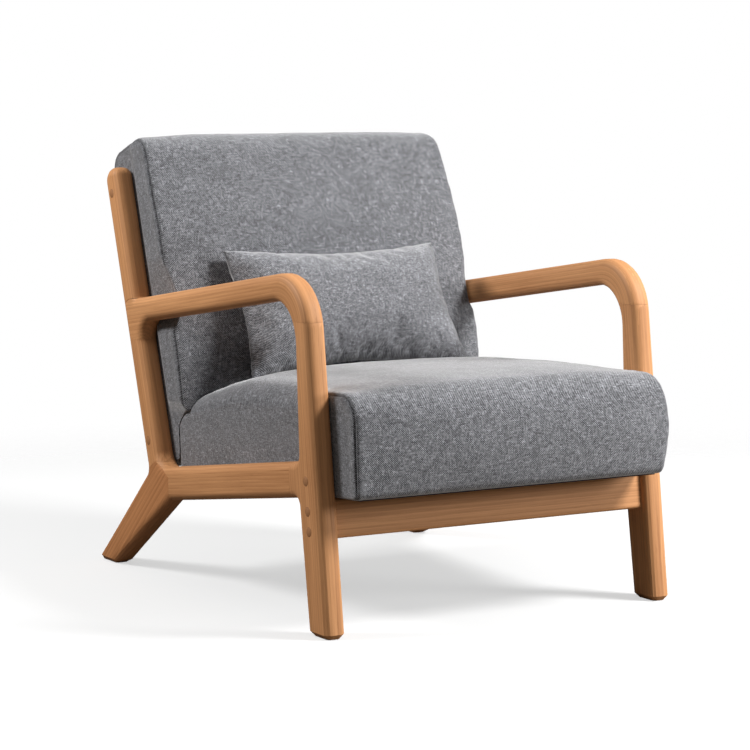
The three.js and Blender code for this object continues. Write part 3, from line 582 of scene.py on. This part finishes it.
def stations_across():
    """Half of the rings across a form: place along X, inset, and way to the rounded edge."""
    straight = HALF_WIDTH - EDGE_RADIUS
    near = [straight - SEAM_RING_STEP * ring * (1 + WRAP_RING_GROWTH * ring)
            for ring in range(SEAM_RINGS)]
    inner = list(np.linspace(0, near[-1], round(near[-1] / RING_STEP), endpoint=False))
    places = [(x, 0.0, straight - x) for x in inner + sorted(near)]
    for share in np.linspace(0, 1, 3 + SEAM_RINGS)[1:]:
        angle = share * math.pi / 2
        places.append((straight + EDGE_RADIUS * math.sin(angle),
                       EDGE_RADIUS * (1 - math.cos(angle)), -EDGE_RADIUS * angle))
    return places


def cushion_rings(form, count):
    """The rings of one half of a form from the middle, and their way to the rounded edge."""
    rings, marks = [], []
    for x, inset, beyond in stations_across():
        flat, _ = evenly(rounded(inset_corners(form["corners"], inset)), count)
        rings.append(np.column_stack([np.full(count, x), flat]))
        marks.append(beyond)
    flat = rings[-1][:, 1:]
    if form["kind"] == "seat":
        mid = form["height"] / 2 * SPINE_SHARE
        spine = np.column_stack([
            np.clip(flat[:, 0], mid, form["depth"] - mid), np.full(count, mid)])
    else:
        mid = form["depth"] / 2
        spine = np.column_stack([
            np.full(count, mid), np.clip(flat[:, 1], mid, form["height"] - mid)])
    deep = min(form["height"], form["depth"]) / 2
    edge_mark = marks[-1]
    shares = [SEAM_RING_STEP * ring * (1 + PANEL_RING_GROWTH * ring) / deep
              for ring in range(1, SEAM_RINGS + 1)]
    shares += list(np.linspace(shares[-1], INNERMOST_SHARE, round(deep / RING_STEP))[1:])
    for share in shares:
        inner = flat + (spine - flat) * share
        rings.append(np.column_stack([np.full(count, HALF_WIDTH), inner]))
        marks.append(edge_mark - share * deep)
    return rings, np.array(marks)


def mesh_piece(name, points, faces, cuts, seam, material, body):
    """A shown piece with its cloth places per face corner and its painted seam shade per point.
    """
    mesh = bpy.data.meshes.new(name)
    mesh.from_pydata(points.tolist(), [], faces)
    mesh.uv_layers.new(name="cloth")
    mesh.uv_layers["cloth"].data.foreach_set("uv", np.array(cuts, dtype=np.float32).ravel())
    shade = mesh.attributes.new("seam", "FLOAT", "POINT")
    shade.data.foreach_set("value", np.asarray(seam, dtype=np.float32))
    mesh.polygons.foreach_set("use_smooth", [True] * len(mesh.polygons))
    mesh.materials.append(material)
    mesh.update()
    piece = bpy.data.objects.new(name, mesh)
    scene.collection.objects.link(piece)
    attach(piece, body)
    return piece


def cushion_skin(form, count):
    """The rings of a whole form from side to side, its places, flat cuts and seam marks."""
    half, marks = cushion_rings(form, count)
    crossing = HALF_WIDTH - EDGE_RADIUS - marks
    flats = [ring[:, 1:] for ring in half]
    points = np.array([swollen(form, -ring[0, 0], ring[:, 1:]) for ring in half[:0:-1]]
                      + [swollen(form, ring[0, 0], ring[:, 1:]) for ring in half])
    return {
        "points": points,
        "flats": np.array(flats[:0:-1] + flats),
        "marks": np.concatenate([marks[:0:-1], marks]),
        "crossing": np.concatenate([-crossing[:0:-1], crossing]),
    }


def skin_faces(rows, count):
    """Quads between the rings of a skin, and one face at each end."""
    faces = [
        (row * count + at, row * count + (at + 1) % count,
         (row + 1) * count + (at + 1) % count, (row + 1) * count + at)
        for row in range(rows - 1) for at in range(count)
    ]
    last = (rows - 1) * count
    faces.append(tuple(range(count - 1, -1, -1)))
    faces.append(tuple(range(last, last + count)))
    return faces


def outward(points):
    """The direction straight out of a skin at each of its places."""
    along = np.roll(points, -1, axis=1) - np.roll(points, 1, axis=1)
    over = np.gradient(points, axis=0)
    out = np.cross(along, over)
    out[0], out[-1] = (-1, 0, 0), (1, 0, 0)
    return out / np.maximum(np.linalg.norm(out, axis=2, keepdims=True), 1e-12)


def rough(points, scale, seed):
    """Smooth noise from -1 to 1 at each of a list of places."""
    shift = Vector([seed * apart for apart in NOISE_APART])
    flat = points.reshape(-1, 3)
    values = [noise.noise(Vector(at) * scale + shift) for at in flat]
    return np.array(values).reshape(points.shape[:-1])


def held_aside(form, points):
    """Keeps a skin off the side frames, and lets it bulge only where they leave it free."""
    y, z = points[..., 1], points[..., 2]
    if form["kind"] == "seat":
        free = (z * math.tan(LEG_RAKE) - TOE - y) * math.cos(LEG_RAKE)
    else:
        post = (POST_FRONT + z * math.tan(POST_LEAN) - TOE - y) * math.cos(POST_LEAN)
        arm_top = ARM_TOP - (y + TOE) * math.tan(ARM_FALL)
        above_arm = (z - arm_top) * math.cos(ARM_FALL)
        off_arm = np.maximum(above_arm * ARM_OVERHANG_SHARE, -ARM_THICKNESS - above_arm)
        free = np.minimum(np.minimum(post, off_arm), z - SEAT_CREST)
    limit = HALF_WIDTH + MOST_BULGE * smooth((free + BULGE_FROM) / BULGE_FADE)
    kept = points.copy()
    kept[..., 0] = np.clip(points[..., 0], -limit, limit)
    return kept


def shoulders(form, own):
    """How far the seat's sides round off behind the front legs, and how far the seam shows."""
    width, depth, height = (np.abs(own[..., axis]) for axis in range(3))
    behind = smooth((depth - BEHIND_LEG) / BEHIND_FADE)
    past = np.clip(width - (HALF_WIDTH - SHOULDER), 0, SHOULDER)
    fall = SHOULDER_FALL * (past / SHOULDER) ** 2
    upper = smooth((height / form["height"] - SHOULDER_FROM) / SHOULDER_BLEND)
    drop = np.zeros_like(own)
    drop[..., 2] = fall * behind * upper
    return drop, 1 - SHOULDER_SEAM_LOSS * behind


def upholstered(form, material):
    """One padded piece: the form, its soft unevenness, the seams and the hold of the frame."""
    count = form["count"]
    skin = cushion_skin(form, count)
    own = skin["points"]
    seam_shows = np.ones(own.shape[:2])
    if form["kind"] == "seat":
        drop, seam_shows = shoulders(form, own)
        own = own - drop
    points = placed(form, own)
    out = outward(points)
    to_seam = skin["marks"] - SEAM_MARK
    groove = np.exp(-(to_seam / SEAM_WIDTH) ** 2)
    puff = np.exp(-((np.abs(to_seam) - PUFF_REACH) / PUFF_SPREAD) ** 2)
    near = np.exp(-np.abs(to_seam) / PUCKER_REACH)
    pucker = rough(points * np.array([PUCKER_SHARE, 1.0, 1.0]), PUCKERS, form["seed"])
    swell = (-SEAM_DEPTH * groove + PUFF_HEIGHT * puff)[:, None] * (1 + PUCKER_SHARE * pucker)
    swell += PUFF_HEIGHT * near[:, None] * pucker * (1 - groove[:, None])
    loose = sum(most * rough(points, waves, form["seed"] + order)
                for order, (most, waves) in enumerate(SLACK, start=1))
    depth, height = skin["flats"][..., 0], skin["flats"][..., 1]
    if form["kind"] == "seat":
        shown = smooth((height - HIDDEN_RIM) / RIM_FADE)
    else:
        shown = smooth((form["depth"] - HIDDEN_RIM - depth) / RIM_FADE)
    swell *= seam_shows
    points = points + out * ((swell + loose * (1 - groove[:, None])) * shown)[..., None]
    points = held_aside(form, points)
    rows = len(points)
    faces = skin_faces(rows, count)
    _, run = evenly(rounded(form["corners"]), count)
    wrapped = np.abs(skin["crossing"]) <= HALF_WIDTH - EDGE_RADIUS - SEAM_MARK + 1e-6
    cuts = []
    for row in range(rows - 1):
        on_wrap = wrapped[row] and wrapped[row + 1]
        for at in range(count):
            for ring, place in ((row, at), (row, at + 1), (row + 1, at + 1), (row + 1, at)):
                if on_wrap:
                    cuts.append((skin["crossing"][ring], place * run))
                else:
                    cuts.append(tuple(skin["flats"][ring, place % count] + SIDE_CUT_AT))
    for ring in (skin["flats"][0][::-1], skin["flats"][-1]):
        cuts.extend(tuple(at + SIDE_CUT_AT) for at in ring)
    # Painted shade in the seam groove, fading where the seat's sides round off behind the legs.
    seam = (groove[:, None] * seam_shows).ravel()
    return mesh_piece(form["name"], points.reshape(-1, 3), faces, cuts, seam, material,
                      "frame")


melange = cloth_material("melange_cloth")
SEAT_DEPTH = 0.614
SEAT_HEIGHT = 0.164
SEAT = {
    "name": "seat_cushion", "kind": "seat", "seed": 3, "count": 340,
    "depth": SEAT_DEPTH, "height": SEAT_HEIGHT, "crown": 0.0225, "swell": 0.012,
    "bulge": (0.0005, 0.012), "fullness": 1.3, "flatness": 4.0, "lean": math.radians(3),
    "place": (-0.432957, 0.2205),
    "corners": [((0, 0), 0.012), ((SEAT_DEPTH, 0), 0.012), ((SEAT_DEPTH, 0.124), 0.056),
                ((0.385, SEAT_HEIGHT), 0.250), ((0, SEAT_HEIGHT), 0.042)],
}
seat = upholstered(SEAT, melange)
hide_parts("seat_cover", "seat_foam")


# The back is built like the seat, thinner and taller. Its foot stands on the rear of the
# seat, and bolts through the posts hold it at its lean.
LIFT_GAP = 0.0005
LIFT_INSET = 0.0015
LEAST_FACING = 0.3
BACK_DEPTH = 0.168
BACK_HEIGHT = 0.569
BACK = {
    "name": "back_cushion", "kind": "back", "seed": 5, "count": 320,
    "depth": BACK_DEPTH, "height": BACK_HEIGHT, "crown": 0.006, "swell": 0.024,
    "bulge": (0.014, 0.014), "fullness": 0.3, "flatness": 5.0, "lean": POST_LEAN,
    "place": (0.105443, 0.2345),
    "corners": [((0.026, 0), 0.004), ((BACK_DEPTH, 0), 0.012),
                ((BACK_DEPTH, BACK_HEIGHT), 0.038), ((0.020, BACK_HEIGHT), 0.050),
                ((0, 0.400), 0.400), ((0, 0.17), 0.300)],
}
back = upholstered(BACK, melange)
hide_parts("back_cover", "back_foam")


def lifted_off(piece, other, way, gap):
    """Slides whatever of a piece lies inside another along one way until it is out."""
    skin = BVHTree.FromPolygons([v.co for v in other.data.vertices],
                                [p.vertices for p in other.data.polygons])
    reach = HALF_WIDTH - LIFT_INSET
    for vertex in piece.data.vertices:
        place = vertex.co.copy()
        place.x = max(-reach, min(reach, place.x))
        at, out, _, far = skin.ray_cast(place, way)
        if at is not None and out.dot(way) > 0:
            vertex.co = vertex.co + way * (far + gap / max(out.dot(way), LEAST_FACING))
    piece.data.update()


back_way = Vector((0, math.sin(POST_LEAN), math.cos(POST_LEAN)))
lifted_off(back, seat, back_way, LIFT_GAP)


# The lumbar pillow is loose: two oblong faces sewn together round the edge, blown up by
# its filling, with a zip in the bottom seam. It lies on the seat against the back.
PILLOW_HALF = (0.210, 0.059, 0.118)
PILLOW_LEAN = math.radians(29.5)
PILLOW_PLACE = (0.1130, 0.4650)
PILLOW_STEPS = (76, 44)
PILLOW_PLUMPNESS = 0.55
PILLOW_WAIST = (0.009, 0.016)
PILLOW_FOOT = (0.008, 0.009)
PILLOW_CUT = (0.225, 0.14)
PILLOW_CUT_AT = 3.0
PILLOW_SEAM_SHADE = 0.8
PILLOW_FREE_SHADE = 0.2
PILLOW_PINS = 0.9
FILLING_PRESSURE = 3.0
CLOTH_GIVE = 0.018
MOST_BLOWN = 0.010
SETTLING_FRAMES = 24
CLEARANCE = 0.0006
CONTACT_REACH = 0.12
END_CLOSENESS = 1.15


def closer_at_ends(count):
    """Steps from -1 to 1 that get a little closer towards both ends."""
    even = np.linspace(-1, 1, count + 1)
    return np.sin(even * END_CLOSENESS) / math.sin(END_CLOSENESS)


def pillow_cut():
    """The places of the pillow in its own frame, its faces, its cut and its seam."""
    columns, rows = PILLOW_STEPS
    u, v = closer_at_ends(columns)[None, :], closer_at_ends(rows)[:, None]
    plump = np.clip((1 - u ** 4) * (1 - v ** 4), 0, 1) ** PILLOW_PLUMPNESS
    foot = u ** 2 * np.clip(-v, 0, 1) ** 2
    width = u * (PILLOW_HALF[0] - PILLOW_WAIST[0] * (1 - v ** 2) + PILLOW_FOOT[0] * foot)
    rise = v * (PILLOW_HALF[2] - PILLOW_WAIST[1] * (1 - u ** 2) + PILLOW_FOOT[1] * foot)
    places, faces, cuts, edge_of, number = [], [], [], [], {}
    for side in (-1, 1):
        for row in range(rows + 1):
            for column in range(columns + 1):
                edge = row in (0, rows) or column in (0, columns)
                key = (0 if edge else side, row, column)
                if key not in number:
                    number[key] = len(places)
                    places.append((width[row, column],
                                   side * PILLOW_HALF[1] * plump[row, column],
                                   rise[row, column]))
                    edge_of.append(edge)
        for row in range(rows):
            for column in range(columns):
                ring = ((row, column), (row, column + 1), (row + 1, column + 1),
                        (row + 1, column))
                face = [number[(0 if r in (0, rows) or c in (0, columns) else side, r, c)]
                        for r, c in ring]
                order = range(4) if side < 0 else range(3, -1, -1)
                faces.append([face[at] for at in order])
                cuts.extend((u[0, ring[at][1]] * PILLOW_CUT[0] + PILLOW_CUT_AT,
                             v[ring[at][0], 0] * PILLOW_CUT[1] + PILLOW_CUT_AT)
                            for at in order)
    return np.array(places), faces, cuts, np.array(edge_of)


def blown_up(points, faces, held):
    """Where a cloth skin goes when its filling presses it out, within a set distance."""
    mesh = bpy.data.meshes.new("trial")
    mesh.from_pydata(points.tolist(), [], faces)
    trial = bpy.data.objects.new("trial", mesh)
    scene.collection.objects.link(trial)
    pins = trial.vertex_groups.new(name="pins")
    for index in np.flatnonzero(held > 0):
        pins.add([int(index)], float(held[index]), "REPLACE")
    cloth = trial.modifiers.new("cloth", "CLOTH")
    cloth.settings.quality = 6
    cloth.settings.mass = 0.25
    cloth.settings.vertex_group_mass = "pins"
    cloth.settings.pin_stiffness = 4.0
    cloth.settings.use_pressure = True
    cloth.settings.uniform_pressure_force = FILLING_PRESSURE
    cloth.settings.shrink_min = -CLOTH_GIVE
    cloth.settings.shrink_max = -CLOTH_GIVE
    cloth.settings.tension_stiffness = 18.0
    cloth.settings.compression_stiffness = 12.0
    cloth.settings.shear_stiffness = 6.0
    cloth.settings.bending_stiffness = 0.12
    cloth.settings.air_damping = 4.0
    cloth.settings.effector_weights.gravity = 0.0
    cloth.collision_settings.use_self_collision = False
    cloth.point_cache.frame_start = 1
    cloth.point_cache.frame_end = SETTLING_FRAMES
    for frame_number in range(1, SETTLING_FRAMES + 1):
        scene.frame_set(frame_number)
    shown = trial.evaluated_get(bpy.context.evaluated_depsgraph_get())
    after = np.zeros(len(points) * 3, dtype=np.float32)
    shown.data.vertices.foreach_get("co", after)
    scene.frame_set(1)
    bpy.data.objects.remove(trial)
    moved = after.reshape(-1, 3) - points
    far = np.linalg.norm(moved, axis=1, keepdims=True)
    return points + moved * np.minimum(1, MOST_BLOWN / np.maximum(far, 1e-9))


def kept_off(piece, other):
    """Presses whatever of a piece lies inside another back to that one's surface."""
    skin = BVHTree.FromPolygons([v.co for v in other.data.vertices],
                                [p.vertices for p in other.data.polygons])
    for vertex in piece.data.vertices:
        at, out, _, _ = skin.find_nearest(vertex.co, CONTACT_REACH)
        if at is not None and (vertex.co - at).dot(out) < CLEARANCE:
            vertex.co = at + out * CLEARANCE
    piece.data.update()


own, faces, cuts, edges = pillow_cut()
own = blown_up(own, faces, edges * PILLOW_PINS)
turn = Matrix.Rotation(-PILLOW_LEAN, 3, "X")
points = own @ np.array(turn).T + np.array((0.0, *PILLOW_PLACE))
# The pillow wears the same melange, painted 1.18 times lighter as painted light on its upturned
# faces.
pillow = mesh_piece("pillow", points, faces, cuts, edges * PILLOW_SEAM_SHADE,
                    cloth_material("pillow_cloth_painted_lighter", 1.18), "lumbar_pillow")
alone(pillow)
rounder = pillow.modifiers.new("rounder", "SUBSURF")
rounder.levels = rounder.render_levels = 1
rounder.subdivision_type = "SIMPLE"
bpy.ops.object.modifier_apply(modifier="rounder")
seam_shade = pillow.data.attributes["seam"].data
free = pillow.vertex_groups.new(name="free")
inside = [at for at, shade in enumerate(seam_shade) if shade.value < PILLOW_FREE_SHADE]
free.add(inside, 1.0, "REPLACE")
softer = pillow.modifiers.new("softer", "SMOOTH")
softer.vertex_group = "free"
softer.factor = 0.5
softer.iterations = 2
bpy.ops.object.modifier_apply(modifier="softer")
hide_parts("pillow_cover", "pillow_filling")
kept_off(pillow, seat)
kept_off(pillow, back)


# The pillow's cover opens along its bottom seam, where a black nylon zip lies between the
# two faces.
nylon, nylon_output = new_material("black_nylon")
tree = nylon.node_tree
places = put(tree, "ShaderNodeTexCoord").outputs["Object"]
teeth = put(tree, "ShaderNodeTexWave", {"Vector": places, "Scale": 200.0},
            wave_type="BANDS", bands_direction="X")
tooth = put(tree, "ShaderNodeBump", {
    "Strength": 0.6, "Distance": 0.0006, "Height": teeth.outputs["Fac"]})
smooth_nylon = put(tree, "ShaderNodeBsdfPrincipled", {
    "Base Color": (0.03, 0.03, 0.032, 1), "Roughness": 0.5, "Normal": tooth.outputs[0]})
tree.links.new(smooth_nylon.outputs[0], nylon_output.inputs["Surface"])
finished(nodes["pillow_zip"], nylon)


# A black dust sheet closes the underside of the seat, and a panel of the melange cloth the
# rear of the back. Both are stretched tight over the battens, with a folded hem.
HEM = 0.012
SHEET_HALF_WIDTH = 0.2797
SHEET_THICKNESS = 0.0007
HEM_EXTRA = 0.0006
HEM_FOLD = 0.002
HEM_SHADE = 0.5
SHEET_STEPS = (60, 56)
SHEET_CUT_AT = 5.0
BACK_PANEL_ENDS = (0.012, 0.533)
BACK_PANEL_LEVEL = 0.1685
DUST_SHEET_ENDS = (0.012, 0.602)
DUST_SHEET_LEVEL = -0.0004


def stretched_sheet(name, form, ends, level, material, facing):
    """A thin sheet in a form's own frame, thicker at its hem, facing down or rearwards."""
    low, high = ends
    across_x = np.linspace(-SHEET_HALF_WIDTH, SHEET_HALF_WIDTH, SHEET_STEPS[0] + 1)
    length = np.linspace(low, high, SHEET_STEPS[1] + 1)
    x, along = np.meshgrid(across_x, length)
    edge = np.minimum(np.minimum(SHEET_HALF_WIDTH - np.abs(x), along - low), high - along)
    inner = np.zeros_like(x)
    outer = SHEET_THICKNESS + HEM_EXTRA * (edge < HEM)
    layers = []
    for thick in (inner, outer):
        off = level + facing * thick
        own = (x, along, off) if form["kind"] == "seat" else (x, off, along)
        layers.append(placed(form, np.stack(own, axis=-1)).reshape(-1, 3))
    columns, rows = len(across_x), len(length)
    count = columns * rows
    points = np.vstack(layers)
    faces = []
    for row in range(rows - 1):
        for column in range(columns - 1):
            a = row * columns + column
            faces.append((a, a + 1, a + columns + 1, a + columns))
            faces.append(tuple(count + n for n in (a, a + columns, a + columns + 1, a + 1)))
    rim = list(range(columns)) + [r * columns + columns - 1 for r in range(1, rows)]
    rim += [(rows - 1) * columns + c for c in range(columns - 2, -1, -1)]
    rim += [r * columns for r in range(rows - 2, 0, -1)]
    for one, two in zip(rim, rim[1:] + rim[:1]):
        faces.append((two, one, count + one, count + two))
    flat = np.stack([x, along], axis=-1).reshape(-1, 2)
    flat = np.vstack([flat, flat]) + SHEET_CUT_AT
    cuts = [tuple(flat[index]) for face in faces for index in face]
    # Painted shade along the hem's fold line.
    painted_hem_shade = np.tile(HEM_SHADE * np.exp(-((edge - HEM) / HEM_FOLD) ** 2).ravel(), 2)
    return mesh_piece(name, points, faces, cuts, painted_hem_shade, material, "frame")


def turned_outwards(piece):
    """Turns the faces of a piece so that all of them point out of it."""
    alone(piece)
    bpy.ops.object.mode_set(mode="EDIT")
    bpy.ops.mesh.select_all(action="SELECT")
    bpy.ops.mesh.normals_make_consistent(inside=False)
    bpy.ops.object.mode_set(mode="OBJECT")


panel = stretched_sheet(
    "back_panel_cloth", BACK, BACK_PANEL_ENDS, BACK_PANEL_LEVEL, melange, 1)
turned_outwards(panel)
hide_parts("back_panel")

felt, felt_output = new_material("black_dust_cloth")
tree = felt.node_tree
places = put(tree, "ShaderNodeTexCoord").outputs["Object"]
fuzz = put(tree, "ShaderNodeTexNoise", {"Vector": places, "Scale": 1400.0})
felted = put(tree, "ShaderNodeMix", {
    "Factor": fuzz.outputs[0], "A": (0.008, 0.008, 0.009, 1), "B": (0.03, 0.03, 0.032, 1)},
    data_type="RGBA")
dull = put(tree, "ShaderNodeBsdfPrincipled", {
    "Base Color": felted.outputs["Result"], "Roughness": 0.95})
tree.links.new(dull.outputs[0], felt_output.inputs["Surface"])
under = stretched_sheet(
    "seat_dust_cloth", SEAT, DUST_SHEET_ENDS, DUST_SHEET_LEVEL, felt, -1)
turned_outwards(under)
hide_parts("seat_dust_sheet")
